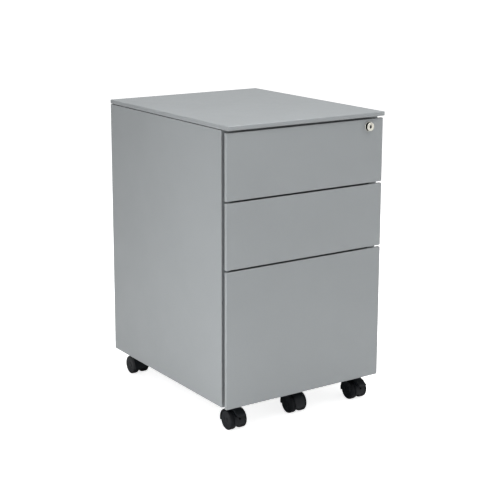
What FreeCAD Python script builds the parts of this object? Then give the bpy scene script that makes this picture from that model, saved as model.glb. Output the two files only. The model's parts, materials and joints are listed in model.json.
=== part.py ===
import FreeCAD, Part
import math
import os

from FreeCAD import Vector

# Rolling steel pedestal cabinet with two box drawers and one filing drawer.
# Millimetres. +Z up, the drawers open towards -Y, +X is the viewer's right from the front.
# The origin is on the floor, under the middle of the cabinet.

# ---------------------------------------------------------------- driving dimensions
WIDTH = 380.0
DEPTH = 464.0
HEIGHT = 615.0
SHEET = 1.0                    # folded steel sheet of the carcass and the drawers
GROUND_GAP = 54.0              # from the floor to the lowest edge of the cabinet

TOP_THICK = 9.0                # edge height of the top panel
TOP_SHEET = 1.2
TOP_RIM = 20.0                 # flange folded in under the top panel
TOP_PLATE = 1.0                # inset plate that leaves a shadow line under the top panel
PLATE_INSET = 6.0

SIDE_SETBACK = 23.0            # the side panels' front edge behind the top panel's
FLANGE = 20.0                  # front flange of the side panels
LIP = 5.8                      # lip folded back from the front flange
BACK_FLANGE = 15.0
FOOT_FLANGE = 12.0
FOOT_RISE = 2.0                # the foot flange sits this far above the side panel's lower edge

FACE_SETBACK = 5.3             # the drawer faces behind the top panel's front edge
FACE_RETURN = 6.4              # depth of the edges folded back from a drawer face
FACE_TOP_GAP = 4.5             # between the top panel and the first drawer face
FACE_GAP = 3.6                 # between two drawer faces
BOX_FACE_HEIGHT = 131.2        # face height of each box drawer

INNER_HALF = 169.0             # half width of a drawer's inner front
INNER_DEPTH = 27.0             # from the face to the back of the inner front
INNER_MARGIN = 4.0             # the inner front stays this far inside the face's height
BOX_HALF = 157.0               # half width of a drawer box
BOX_LENGTH = 400.0
BOX_RIM = 4.0                  # folded rim of the drawer boxes

SLIDE_HEIGHT = 45.0
SLIDE_LENGTH = 400.0
SLIDE_SHEET = 1.2
SLIDE_OUTER = 169.7            # outside face of the cabinet members
MIDDLE_WEB = 163.4             # inside face of the middle members' web
RETAINER_THICK = 2.0           # ball retainers between the middle and the cabinet members

UPRIGHT_WIDTH = 25.0
UPRIGHT_SHEET = 1.2
UPRIGHT_SETBACK = 3.7          # the front uprights behind the inner fronts
REAR_UPRIGHT_Y = 150.0

WHEEL_RADIUS = 20.0
WHEEL_INNER = 3.8              # inside face of each castor wheel, from the castor's middle
WHEEL_OUTER = 18.6
WHEEL_ROOM = 0.8               # between the wheels and the hood round them
TRAIL = 15.0                   # swivel axis to wheel axle
AXLE_RADIUS = 3.0
PIN_RADIUS = 3.5
RUNNING_FIT = 0.06             # radial clearance of every turning pin
HOOD_TOP = 50.5
SHIELD_HALF = 11.0             # half width of the hood's skin round the front of the wheels
SHIELD_RADIUS = 21.9
SHIELD_BOTTOM = 13.0
WEB_BOTTOM = 9.0               # lower edge of the web between the wheels
CASTOR_PLATE = 2.5
CASTOR_PLATE_HALF = 20.0
PLATE_HOLE_PITCH = 28.0        # between the screw holes of a castor plate
PLATE_HOLE_RADIUS = 2.2
RACE_RADIUS = 10.0
BOSS_RADIUS = 10.5
PIN_BOTTOM = 36.0              # lower end of the king pins
CORNER_CASTOR_X = 153.0
FRONT_AXLE_Y = -197.0
REAR_AXLE_Y = 197.0
MIDDLE_AXLE_Y = -190.3
BRAKE_PIN_Y = 2.5              # the brake pedals' pin in front of the axle
BRAKE_PIN_RISE = 23.9          # and above it
BRAKE_PIN_RADIUS = 1.5
PEDAL_HALF = 9.0
PEDAL_BOSS_RADIUS = 3.0

LOCK_FROM_SIDE = 37.0
LOCK_FROM_TOP = 28.7
LOCK_HEAD_RADIUS = 8.7
LOCK_HEAD_LENGTH = 6.5         # how far the head stands out of the face
LOCK_FLANGE_RADIUS = 10.0
LOCK_FLANGE = 1.3
LOCK_BODY_RADIUS = 7.3
LOCK_HOLE_ROOM = 0.1           # radial room round the barrel in the face and the clip
LOCK_PLUG_RADIUS = 5.6
LOCK_LIFT = 8.0                # how far the lock bar rises

# ---------------------------------------------------------------- places worked out from them
HALF_W = WIDTH / 2
FRONT = -DEPTH / 2
BACK = DEPTH / 2
TOP_UNDER = HEIGHT - TOP_THICK
SIDE_TOP = TOP_UNDER - TOP_PLATE
SIDE_FRONT = FRONT + SIDE_SETBACK
SIDE_BACK = BACK - 1.0
WALL_IN = HALF_W - SHEET
LIP_X = HALF_W - FLANGE

FACE_Y = FRONT + FACE_SETBACK
INNER_BACK = FACE_Y + INNER_DEPTH
BOX_BACK = INNER_BACK + BOX_LENGTH

BASE_BOTTOM = GROUND_GAP + FOOT_RISE + SHEET
BASE_TOP = BASE_BOTTOM + SHEET
PLATE_BOTTOM = BASE_BOTTOM - CASTOR_PLATE

FACE_1_TOP = TOP_UNDER - FACE_TOP_GAP
FACE_1_BOTTOM = FACE_1_TOP - BOX_FACE_HEIGHT
FACE_2_TOP = FACE_1_BOTTOM - FACE_GAP
FACE_2_BOTTOM = FACE_2_TOP - BOX_FACE_HEIGHT
FACE_3_TOP = FACE_2_BOTTOM - FACE_GAP
FACE_3_BOTTOM = GROUND_GAP

LOCK_X = HALF_W - LOCK_FROM_SIDE
LOCK_Z = HEIGHT - LOCK_FROM_TOP
CAM_Y = INNER_BACK - 4.8
CAM_THICK = 2.0
CAM_HALF = 5.0
CAM_REACH = 28.0
CAM_SWEEP = 33.0               # cut-outs for the cam reach this far below the lock's axis

BAR_LEFT = 172.0
BAR_RIGHT = 186.0
LUG_LEFT = 160.0               # how far the lugs reach under the inner fronts
BAR_Y = -206.6
BAR_THICK = 2.0
BAR_ROOM = 2.5                 # clearance behind the bar where it passes a lip
LUG_HEIGHT = 6.0
LUG_BELOW = 8.3                # bottom of each lug below the inner front that it locks

SLIDE_Y = INNER_BACK + 2.7
# face: its bottom and top; inner_top: top of the inner front; box: bottom and height of the box;
# slide: middle of the slides. Box and slide are counted from the bottom of the inner front.
DRAWERS = {
    "top_drawer": {
        "face": (FACE_1_BOTTOM, FACE_1_TOP),
        "inner_top": TOP_UNDER - 10.5,
        "box": (2.0, 90.0),
        "slide": 50.0,
    },
    "middle_drawer": {
        "face": (FACE_2_BOTTOM, FACE_2_TOP),
        "inner_top": FACE_2_TOP - INNER_MARGIN,
        "box": (2.0, 90.0),
        "slide": 50.0,
    },
    "file_drawer": {
        "face": (FACE_3_BOTTOM, FACE_3_TOP),
        "inner_top": FACE_3_TOP - INNER_MARGIN,
        "box": (10.0, 235.0),
        "slide": 80.0,
    },
}
FILE_INNER_BOTTOM = 66.8       # leaves room for the castor bracket and the lowest lug


# ---------------------------------------------------------------- helpers
def block(x0, x1, y0, y1, z0, z1):
    """A box between two corners."""
    return Part.makeBox(x1 - x0, y1 - y0, z1 - z0, Vector(x0, y0, z0))


def mirrored_block(sign, x0, x1, y0, y1, z0, z1):
    """A box on the right side (sign 1), or its mirror image on the left (sign -1)."""
    if sign > 0:
        return block(x0, x1, y0, y1, z0, z1)
    return block(-x1, -x0, y0, y1, z0, z1)


def rod_x(x0, x1, y, z, radius):
    return Part.makeCylinder(radius, x1 - x0, Vector(x0, y, z), Vector(1, 0, 0))


def rod_y(x, y0, y1, z, radius):
    return Part.makeCylinder(radius, y1 - y0, Vector(x, y0, z), Vector(0, 1, 0))


def rod_z(x, y, z0, z1, radius):
    return Part.makeCylinder(radius, z1 - z0, Vector(x, y, z0), Vector(0, 0, 1))


def joined(pieces):
    """One solid from pieces that touch face to face."""
    whole = pieces[0].multiFuse(pieces[1:])
    return whole.removeSplitter()


def edges_where(shape, keep):
    """Straight edges whose two ends and direction pass the test keep(start, end, direction)."""
    found = []
    for edge in shape.Edges:
        start = edge.Vertexes[0].Point
        end = edge.Vertexes[-1].Point
        span = end.sub(start)
        if span.Length < 0.01:
            continue
        if keep(start, end, span.normalize()):
            found.append(edge)
    return found


def export(name, shape):
    shape.exportStep("parts/" + name + ".step")
    print(name, "solids", len(shape.Solids), "valid", shape.isValid(), "volume", round(shape.Volume))


# ---------------------------------------------------------------- carcass
def top_panel():
    """Folded steel tray: flat top, 9 mm edges and a flange folded in underneath."""
    outer = block(-HALF_W, HALF_W, FRONT, BACK, TOP_UNDER, HEIGHT)
    upright = edges_where(outer, lambda a, b, d: abs(d.z) > 0.9)
    outer = outer.makeFillet(2.0, upright)
    rim = [edge for edge in outer.Edges if edge.BoundBox.ZMin > HEIGHT - 0.01]
    outer = outer.makeFillet(1.3, rim)
    room = block(
        TOP_SHEET - HALF_W, HALF_W - TOP_SHEET, FRONT + TOP_SHEET, BACK - TOP_SHEET,
        TOP_UNDER + TOP_SHEET, HEIGHT - TOP_SHEET,
    )
    mouth = block(
        TOP_RIM - HALF_W, HALF_W - TOP_RIM, FRONT + TOP_RIM, BACK - TOP_RIM,
        TOP_UNDER - 1.0, TOP_UNDER + TOP_SHEET + 0.5,
    )
    return outer.cut(room).cut(mouth)


def top_plate():
    """Inset plate between the carcass and the top panel."""
    return block(
        PLATE_INSET - HALF_W, HALF_W - PLATE_INSET, SIDE_FRONT + PLATE_INSET, SIDE_BACK - PLATE_INSET,
        SIDE_TOP, TOP_UNDER,
    )


def lip_slots():
    """Cut-outs in the right lip for the three lock lugs and for the lock cam."""
    cuts = []
    for name in DRAWERS:
        low = inner_front_z(name)[0] - LUG_BELOW
        high = low + LUG_HEIGHT + LOCK_LIFT
        y1 = BAR_Y + BAR_THICK + BAR_ROOM
        cuts.append(block(LIP_X - 1, LIP_X + 2, SIDE_FRONT + SHEET, y1, low - 1, high + 1))
    cam_room = 1.5
    y0 = CAM_Y - cam_room
    y1 = CAM_Y + CAM_THICK + cam_room
    cuts.append(block(LIP_X - 1, LIP_X + 2, y0, y1, LOCK_Z - CAM_SWEEP, LOCK_Z + CAM_HALF + 3))
    return cuts


def side_panel(sign):
    """Folded side: wall, front flange with lip, back flange, top flange and foot flange."""
    flange_back = SIDE_FRONT + SHEET
    wall = mirrored_block(sign, WALL_IN, HALF_W, SIDE_FRONT, SIDE_BACK, GROUND_GAP, SIDE_TOP)
    front = mirrored_block(sign, LIP_X, HALF_W, SIDE_FRONT, flange_back, GROUND_GAP, SIDE_TOP)
    lip = mirrored_block(sign, LIP_X, LIP_X + SHEET, flange_back, flange_back + LIP, GROUND_GAP, SIDE_TOP)
    back = mirrored_block(
        sign, HALF_W - BACK_FLANGE, WALL_IN, SIDE_BACK - SHEET, SIDE_BACK, GROUND_GAP, SIDE_TOP
    )
    top = mirrored_block(
        sign, LIP_X + SHEET, WALL_IN, flange_back, SIDE_BACK - SHEET, SIDE_TOP - SHEET, SIDE_TOP
    )
    foot = mirrored_block(
        sign, HALF_W - SHEET - FOOT_FLANGE, WALL_IN, flange_back + LIP, SIDE_BACK - SHEET,
        BASE_BOTTOM - SHEET, BASE_BOTTOM,
    )
    panel = joined([wall, front, lip, back, top, foot])
    corner_x = sign * HALF_W
    outer_edges = edges_where(
        panel,
        lambda a, b, d: abs(d.z) > 0.9 and abs(a.x - corner_x) < 0.01 and a.distanceToPoint(b) > 400,
    )
    panel = panel.makeFillet(0.9, outer_edges)
    if sign > 0:
        for cut in lip_slots():
            panel = panel.cut(cut)
    return panel


def back_panel():
    """Flat back between the side panels, behind their back flanges."""
    return block(
        SHEET - WALL_IN, WALL_IN - SHEET, SIDE_BACK - 2 * SHEET, SIDE_BACK - SHEET,
        BASE_TOP, SIDE_TOP - SHEET,
    )


def base_tray():
    """Floor of the carcass with a slot, open in front, for the file drawer's castor."""
    plate = block(
        0.5 - WALL_IN, WALL_IN - 0.5, SIDE_FRONT + SHEET + LIP, SIDE_BACK - 2 * SHEET, BASE_BOTTOM, BASE_TOP
    )
    tongue = block(
        0.5 - LIP_X, LIP_X - 0.5, SIDE_FRONT + SHEET, SIDE_FRONT + SHEET + LIP, BASE_BOTTOM, BASE_TOP
    )
    slot_back = MIDDLE_AXLE_Y + TRAIL + CASTOR_PLATE_HALF + 12
    slot_half = CASTOR_PLATE_HALF + 14.0
    slot = block(-slot_half, slot_half, SIDE_FRONT, slot_back, BASE_BOTTOM - 1, BASE_TOP + 1)
    return joined([plate, tongue]).cut(slot)


def front_top_rail():
    """Angle rail across the top of the drawer opening."""
    z0 = TOP_UNDER - 9.0
    y1 = SIDE_FRONT + SHEET + LIP
    web = block(-LIP_X, LIP_X, SIDE_FRONT, SIDE_FRONT + SHEET, z0, SIDE_TOP)
    shelf = block(-LIP_X, LIP_X, SIDE_FRONT + SHEET, y1, SIDE_TOP - SHEET, SIDE_TOP)
    return joined([web, shelf])


def upright(sign, y0):
    """Channel that carries the cabinet members of the slides."""
    y1 = y0 + UPRIGHT_WIDTH
    z0 = BASE_TOP
    z1 = SIDE_TOP - SHEET
    web = mirrored_block(sign, SLIDE_OUTER, SLIDE_OUTER + UPRIGHT_SHEET, y0, y1, z0, z1)
    near = mirrored_block(sign, SLIDE_OUTER, WALL_IN, y0, y0 + UPRIGHT_SHEET, z0, z1)
    far = mirrored_block(sign, SLIDE_OUTER, WALL_IN, y1 - UPRIGHT_SHEET, y1, z0, z1)
    return joined([web, near, far])


def lock_bar():
    """Vertical bar that the lock lifts; a lug under each drawer rises into its inner front."""
    low = inner_front_z("file_drawer")[0] - LUG_BELOW
    bar_back = BAR_Y + BAR_THICK
    bar = block(BAR_LEFT, BAR_RIGHT, BAR_Y, bar_back, low, LOCK_Z + CAM_HALF + 1)
    pieces = [bar]
    for name in DRAWERS:
        z0 = inner_front_z(name)[0] - LUG_BELOW
        pieces.append(block(LUG_LEFT, BAR_LEFT + 1, BAR_Y, bar_back, z0, z0 + LUG_HEIGHT))
    cam_top = LOCK_Z + CAM_HALF + 0.3 - LOCK_LIFT
    pieces.append(block(BAR_LEFT + 1, BAR_RIGHT, bar_back, CAM_Y + CAM_THICK + 1, cam_top, cam_top + 2))
    return joined(pieces)


# ---------------------------------------------------------------- slides
def slide_z(name):
    return inner_front_z(name)[0] + DRAWERS[name]["slide"]


def channel(sign, web_x, reach_x, half_height, z):
    """A slide member: upright web at web_x and two flanges that reach to reach_x."""
    x0 = min(web_x, reach_x)
    x1 = max(web_x, reach_x)
    y1 = SLIDE_Y + SLIDE_LENGTH
    toward = 1 if reach_x > web_x else -1
    web_in, web_out = sorted((web_x, web_x + toward * SLIDE_SHEET))
    pieces = [mirrored_block(sign, web_in, web_out, SLIDE_Y, y1, z - half_height, z + half_height)]
    for z0 in (z - half_height, z + half_height - SLIDE_SHEET):
        pieces.append(mirrored_block(sign, x0, x1, SLIDE_Y, y1, z0, z0 + SLIDE_SHEET))
    return joined(pieces)


def cabinet_member(sign, name):
    return channel(sign, SLIDE_OUTER, SLIDE_OUTER - 10.2, SLIDE_HEIGHT / 2, slide_z(name))


def drawer_member(sign, name):
    return channel(sign, BOX_HALF, BOX_HALF + 5.2, 13.5, slide_z(name))


def middle_member(sign, name):
    """Double channel that runs between the other two, with its ball retainers."""
    z = slide_z(name)
    half = SLIDE_HEIGHT / 2 - 4.2
    y1 = SLIDE_Y + SLIDE_LENGTH
    pieces = [mirrored_block(sign, MIDDLE_WEB, MIDDLE_WEB + SLIDE_SHEET, SLIDE_Y, y1, z - half, z + half)]
    for z0 in (z - half, z + half - SLIDE_SHEET):
        pieces.append(
            mirrored_block(sign, MIDDLE_WEB - 2.8, MIDDLE_WEB + 4.0, SLIDE_Y, y1, z0, z0 + SLIDE_SHEET)
        )
    start = SLIDE_Y + 150
    for direction in (-1, 1):
        strip_z = z + direction * half
        z0, z1 = sorted((strip_z, strip_z + direction * RETAINER_THICK))
        pieces.append(mirrored_block(sign, MIDDLE_WEB - 1.5, MIDDLE_WEB + 2.7, start, start + 120, z0, z1))
    return joined(pieces)


# ---------------------------------------------------------------- drawers
def inner_front_z(name):
    bottom, _ = DRAWERS[name]["face"]
    low = FILE_INNER_BOTTOM if name == "file_drawer" else bottom + INNER_MARGIN
    return low, DRAWERS[name]["inner_top"]


def drawer_face(name):
    """Front panel: a shallow tray with its edges folded back."""
    z0, z1 = DRAWERS[name]["face"]
    shell = block(-HALF_W, HALF_W, FACE_Y, FACE_Y + FACE_RETURN, z0, z1)
    front_rim = edges_where(shell, lambda a, b, d: max(a.y, b.y) < FACE_Y + 0.01)
    corners = edges_where(shell, lambda a, b, d: abs(d.y) > 0.9)
    shell = shell.makeFillet(1.1, front_rim + corners)
    room = block(
        SHEET - HALF_W, HALF_W - SHEET, FACE_Y + SHEET, FACE_Y + FACE_RETURN + 1, z0 + SHEET, z1 - SHEET
    )
    face = shell.cut(room)
    if name == "top_drawer":
        hole_radius = LOCK_BODY_RADIUS + LOCK_HOLE_ROOM
        face = face.cut(rod_y(LOCK_X, FACE_Y - 1, FACE_Y + 2, LOCK_Z, hole_radius))
    return face


def inner_front(name):
    """Folded box behind the face; it stands inside the drawer opening."""
    z0, z1 = inner_front_z(name)
    y0 = FACE_Y + SHEET
    outer = block(-INNER_HALF, INNER_HALF, y0, INNER_BACK, z0, z1)
    room = block(
        SHEET - INNER_HALF, INNER_HALF - SHEET, y0 - 1, INNER_BACK - SHEET, z0 + SHEET, z1 - SHEET
    )
    shell = outer.cut(room)
    lug_cut = block(LUG_LEFT - 2, INNER_HALF + 1, BAR_Y - 2, BAR_Y + 5, z0 - 1, z0 + LUG_HEIGHT + 2)
    shell = shell.cut(lug_cut)
    if name == "top_drawer":
        cam_room = 1.2
        cam_y0 = CAM_Y - cam_room
        cam_y1 = CAM_Y + CAM_THICK + cam_room
        cam_z1 = LOCK_Z + CAM_HALF + 2
        cam_cut = block(INNER_HALF - 2, INNER_HALF + 1, cam_y0, cam_y1, LOCK_Z - CAM_SWEEP, cam_z1)
        shell = shell.cut(cam_cut)
    return shell


def drawer_box(name):
    """Open box with a folded rim, fixed behind the inner front."""
    low = inner_front_z(name)[0]
    lift, height = DRAWERS[name]["box"]
    z0 = low + lift
    z1 = z0 + height
    outer = block(-BOX_HALF, BOX_HALF, INNER_BACK, BOX_BACK, z0, z1)
    upright_corners = edges_where(outer, lambda a, b, d: abs(d.z) > 0.9 and a.y > 0)
    outer = outer.makeFillet(4.0, upright_corners)
    room = block(
        SHEET - BOX_HALF, BOX_HALF - SHEET, INNER_BACK + SHEET, BOX_BACK - SHEET, z0 + SHEET, z1 - SHEET
    )
    mouth = block(
        BOX_RIM - BOX_HALF, BOX_HALF - BOX_RIM, INNER_BACK + SHEET, BOX_BACK - BOX_RIM, z0 + SHEET, z1 + 1
    )
    inner_corners = edges_where(room, lambda a, b, d: abs(d.z) > 0.9 and a.y > 0)
    mouth_corners = edges_where(mouth, lambda a, b, d: abs(d.z) > 0.9 and a.y > 0)
    return outer.cut(room.makeFillet(3.0, inner_corners)).cut(mouth.makeFillet(2.0, mouth_corners))


def box_z(name):
    lift, height = DRAWERS[name]["box"]
    z0 = inner_front_z(name)[0] + lift
    return z0, z0 + height


def pen_tray():
    """Moulded tray on the rim of the top drawer, with four pockets."""
    top = box_z("top_drawer")[1]
    y0 = INNER_BACK + SHEET + 0.4
    y1 = y0 + 96
    half = BOX_HALF - BOX_RIM - 0.6
    wall = 1.6
    depth = 26.0
    divider_x = -46.0              # between the deep left pocket and the three on the right
    ribs = (30.0, 62.0)            # dividers between those three, from the tray's front
    body = block(-half, half, y0, y1, top - depth, top)
    flange = block(0.6 - BOX_HALF, BOX_HALF - 0.6, y0, y1, top, top + 1.4)
    tray = joined([body, flange])
    pockets = [(wall - half, divider_x, y0 + wall, y1 - wall)]
    pockets.append((divider_x + wall, half - wall, y0 + wall, y0 + ribs[0]))
    pockets.append((divider_x + wall, half - wall, y0 + ribs[0] + wall, y0 + ribs[1]))
    pockets.append((divider_x + wall, half - wall, y0 + ribs[1] + wall, y1 - wall))
    for x0, x1, ya, yb in pockets:
        pocket = block(x0, x1, ya, yb, top - depth + wall, top + 3)
        soft = edges_where(pocket, lambda a, b, d: abs(d.z) > 0.9)
        tray = tray.cut(pocket.makeFillet(4.0, soft))
    return tray


def hanging_file_rails():
    """Two bars across the file drawer, hooked over its rims."""
    top = box_z("file_drawer")[1]
    front_y = INNER_BACK + 16.0
    apart = 355.0
    thick = 2.0
    end_x = BOX_HALF - 2.0
    hook_x = BOX_HALF - BOX_RIM - 4.0
    rails = []
    for y in (front_y, front_y + apart):
        pieces = [block(-end_x, end_x, y, y + thick, top, top + 11)]
        for sign in (-1, 1):
            pieces.append(mirrored_block(sign, hook_x, end_x, y + thick, y + 14, top, top + 1.5))
        rails.append(joined(pieces))
    return Part.makeCompound(rails)


def castor_bracket():
    """Hat-shaped bracket that hangs the middle castor from the file drawer."""
    y_mid = MIDDLE_AXLE_Y + TRAIL
    half = CASTOR_PLATE_HALF + 2
    top = box_z("file_drawer")[0]
    y0 = max(y_mid - half, INNER_BACK + 0.5)
    floor = block(-half, half, y_mid - half, y_mid + half, BASE_BOTTOM, BASE_BOTTOM + 2)
    pieces = [floor]
    for sign in (-1, 1):
        pieces.append(mirrored_block(sign, half - 2, half, y0, y_mid + half, BASE_BOTTOM + 2, top))
        pieces.append(mirrored_block(sign, half, half + 8, y0, y_mid + half, top - 2, top))
    return joined(pieces)


# ---------------------------------------------------------------- lock
def lock_barrel():
    """Fixed housing of the cam lock, with the bored head that stands out of the face."""
    head_front = FACE_Y - LOCK_HEAD_LENGTH
    head = rod_y(LOCK_X, head_front, FACE_Y - LOCK_FLANGE, LOCK_Z, LOCK_HEAD_RADIUS)
    front_edge = [edge for edge in head.Edges if edge.BoundBox.YMax < head_front + 0.01]
    head = head.makeFillet(0.8, front_edge)
    flange = rod_y(LOCK_X, FACE_Y - LOCK_FLANGE, FACE_Y, LOCK_Z, LOCK_FLANGE_RADIUS)
    body = rod_y(LOCK_X, FACE_Y, CAM_Y - 0.4, LOCK_Z, LOCK_BODY_RADIUS)
    bore = rod_y(LOCK_X, FACE_Y - 10, CAM_Y + 5, LOCK_Z, LOCK_PLUG_RADIUS + RUNNING_FIT)
    return joined([head, flange, body]).cut(bore)


def lock_clip():
    """Horseshoe clip that holds the barrel against the back of the face."""
    y0 = FACE_Y + SHEET
    y1 = y0 + 1.4
    radius = LOCK_BODY_RADIUS + LOCK_HOLE_ROOM
    plate = block(LOCK_X - 12, LOCK_X + 10, y0, y1, LOCK_Z - 9.4, LOCK_Z + 8.1)
    slot = block(LOCK_X - 13, LOCK_X, y0 - 1, y1 + 1, LOCK_Z - radius, LOCK_Z + radius)
    hole = rod_y(LOCK_X, y0 - 1, y1 + 1, LOCK_Z, radius)
    return plate.cut(slot).cut(hole)


def lock_plug():
    """Turning core with its keyway."""
    front = FACE_Y - LOCK_HEAD_LENGTH + 0.5
    core = rod_y(LOCK_X, front, CAM_Y, LOCK_Z, LOCK_PLUG_RADIUS)
    keyway = block(LOCK_X - 0.7, LOCK_X + 0.7, front - 1, front + 12, LOCK_Z - 3.4, LOCK_Z + 3.0)
    return core.cut(keyway)


def lock_cam():
    """Tongue on the end of the plug; it hangs down when the cabinet is unlocked."""
    y1 = CAM_Y + CAM_THICK
    disc = rod_y(LOCK_X, CAM_Y, y1, LOCK_Z, CAM_HALF + 1.5)
    tongue = block(LOCK_X - CAM_HALF, LOCK_X + CAM_HALF, CAM_Y, y1, LOCK_Z - CAM_REACH, LOCK_Z)
    screw = rod_y(LOCK_X, y1, y1 + 1.3, LOCK_Z, 3.2)
    return joined([disc, tongue, screw])


# ---------------------------------------------------------------- castors
def castor_plate(x, swivel_y):
    """Fixing plate with its bearing race and king pin."""
    half = CASTOR_PLATE_HALF
    plate = block(x - half, x + half, swivel_y - half, swivel_y + half, PLATE_BOTTOM, BASE_BOTTOM)
    corners = edges_where(plate, lambda a, b, d: abs(d.z) > 0.9)
    plate = plate.makeFillet(4.0, corners)
    for side in (-1, 1):
        for end in (-1, 1):
            hole_x = x + side * PLATE_HOLE_PITCH / 2
            hole_y = swivel_y + end * PLATE_HOLE_PITCH / 2
            plate = plate.cut(rod_z(hole_x, hole_y, PLATE_BOTTOM - 1, BASE_BOTTOM + 1, PLATE_HOLE_RADIUS))
    race = rod_z(x, swivel_y, HOOD_TOP + 0.5, PLATE_BOTTOM, RACE_RADIUS)
    pin = rod_z(x, swivel_y, PIN_BOTTOM, HOOD_TOP + 0.5, PIN_RADIUS)
    return joined([plate, race, pin])


def castor_hood(x, swivel_y, toward, braked):
    """Swivelling body: web between the wheels, swivel boss, fender over the wheels' swivel side,
    and a narrower shield that carries on round their far side.

    toward is -1 where the wheels trail to the front and 1 where they trail to the back.
    A braked hood has a shorter fender and a relief in its shield, for the pedal and its bosses.
    """
    cover = -2.0 if braked else 4.0
    axle_y = swivel_y + toward * TRAIL
    web_half = WHEEL_INNER - 0.7
    web = rod_x(x - web_half, x + web_half, axle_y, WHEEL_RADIUS, 12.0)
    web_nose = rod_x(x - web_half, x + web_half, axle_y, WHEEL_RADIUS, SHIELD_RADIUS)
    nose_y0, nose_y1 = sorted((axle_y - toward * 5.0, axle_y + toward * (SHIELD_RADIUS + 1)))
    nose_room = block(x - web_half, x + web_half, nose_y0, nose_y1, WEB_BOTTOM, HOOD_TOP)
    web = web.fuse(web_nose.common(nose_room))
    y0, y1 = sorted((axle_y, swivel_y))
    bridge = block(x - web_half, x + web_half, y0, y1 + 0.01, WHEEL_RADIUS, 43.0)
    boss = rod_z(x, swivel_y, PIN_BOTTOM - 4, HOOD_TOP, BOSS_RADIUS)
    gap = WHEEL_RADIUS + WHEEL_ROOM
    skin = gap + 2.4
    ring = rod_x(x - WHEEL_OUTER, x + WHEEL_OUTER, axle_y, WHEEL_RADIUS, skin)
    y2, y3 = sorted((axle_y + toward * cover, axle_y - toward * (skin + 5)))
    window = block(x - WHEEL_OUTER - 1, x + WHEEL_OUTER + 1, y2, y3, WHEEL_RADIUS - 5, HOOD_TOP + 10)
    fender = ring.common(window)
    skin_front = rod_x(x - SHIELD_HALF, x + SHIELD_HALF, axle_y, WHEEL_RADIUS, SHIELD_RADIUS)
    y4, y5 = sorted((axle_y - toward * 6.0, axle_y + toward * (SHIELD_RADIUS + 1)))
    shield_room = block(x - SHIELD_HALF, x + SHIELD_HALF, y4, y5, SHIELD_BOTTOM, HOOD_TOP)
    shield = skin_front.common(shield_room)
    lug_half = web_half - 0.3
    lug_y = axle_y + toward * BRAKE_PIN_Y
    lug_z = WHEEL_RADIUS + BRAKE_PIN_RISE
    lug = rod_x(x - lug_half, x + lug_half, lug_y, lug_z, 3.4)
    if braked:
        relief_half = PEDAL_HALF + 0.4
        relief_radius = PEDAL_BOSS_RADIUS + 0.4
        shield = shield.cut(rod_x(x - relief_half, x + relief_half, lug_y, lug_z, relief_radius))
    hood = joined([web, bridge, boss, fender, shield, lug])
    for side in (-1, 1):
        xa, xb = sorted((x + side * web_half, x + side * (WHEEL_OUTER + 1)))
        hood = hood.cut(rod_x(xa, xb, axle_y, WHEEL_RADIUS, gap))
    hood = hood.cut(rod_x(x - 20, x + 20, axle_y, WHEEL_RADIUS, AXLE_RADIUS + RUNNING_FIT))
    return hood.cut(rod_z(x, swivel_y, PIN_BOTTOM - 0.5, HOOD_TOP + 1, PIN_RADIUS + RUNNING_FIT))


def castor_wheels(x, axle_y):
    """Twin wheels joined by their axle."""
    pieces = [rod_x(x - WHEEL_INNER, x + WHEEL_INNER, axle_y, WHEEL_RADIUS, AXLE_RADIUS)]
    for side in (-1, 1):
        x0, x1 = sorted((x + side * WHEEL_INNER, x + side * WHEEL_OUTER))
        wheel = rod_x(x0, x1, axle_y, WHEEL_RADIUS, WHEEL_RADIUS)
        rims = [edge for edge in wheel.Edges if edge.BoundBox.XLength < 0.01]
        wheel = wheel.makeFillet(2.2, rims)
        dish_x = x + side * (WHEEL_OUTER - 1.6)
        xa, xb = sorted((dish_x, x + side * (WHEEL_OUTER + 1)))
        dish = rod_x(xa, xb, axle_y, WHEEL_RADIUS, 13.5)
        dish = dish.cut(rod_x(xa, xb, axle_y, WHEEL_RADIUS, 4.5))
        pieces.append(wheel.cut(dish))
    return joined(pieces)


def brake_pedal(x, axle_y):
    """Pedal over the front of the wheels, hinged on the hood's lug by its own pin."""
    pin_y = axle_y - BRAKE_PIN_Y
    pin_z = WHEEL_RADIUS + BRAKE_PIN_RISE
    # side outline, forward of the axle and above it: the top surface, then back along the underside
    top = [(3, 27.2), (11, 25.4), (18.5, 21), (24, 17.6), (29.5, 16.6)]
    underside = [(29.5, 14), (24, 14.4), (19.5, 15.6), (12, 20.6), (4, 23)]
    points = [Vector(x - PEDAL_HALF, axle_y - u, WHEEL_RADIUS + v) for u, v in top + underside]
    wire = Part.makePolygon(points + [points[0]])
    plate = Part.Face(wire).extrude(Vector(2 * PEDAL_HALF, 0, 0))
    lug_room = rod_x(x - WHEEL_INNER, x + WHEEL_INNER, pin_y, pin_z, 4.4)
    pieces = [plate.cut(lug_room)]
    for side in (-1, 1):
        x0, x1 = sorted((x + side * WHEEL_INNER, x + side * PEDAL_HALF))
        pieces.append(rod_x(x0, x1, pin_y, pin_z, PEDAL_BOSS_RADIUS))
    pieces.append(rod_x(x - WHEEL_INNER, x + WHEEL_INNER, pin_y, pin_z, BRAKE_PIN_RADIUS))
    return joined(pieces)


def castor_places():
    """Name, x, axle y and trail direction of each castor."""
    return [
        ("front_left", -CORNER_CASTOR_X, FRONT_AXLE_Y, -1),
        ("front_right", CORNER_CASTOR_X, FRONT_AXLE_Y, -1),
        ("rear_left", -CORNER_CASTOR_X, REAR_AXLE_Y, 1),
        ("rear_right", CORNER_CASTOR_X, REAR_AXLE_Y, 1),
        ("middle", 0.0, MIDDLE_AXLE_Y, -1),
    ]


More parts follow.
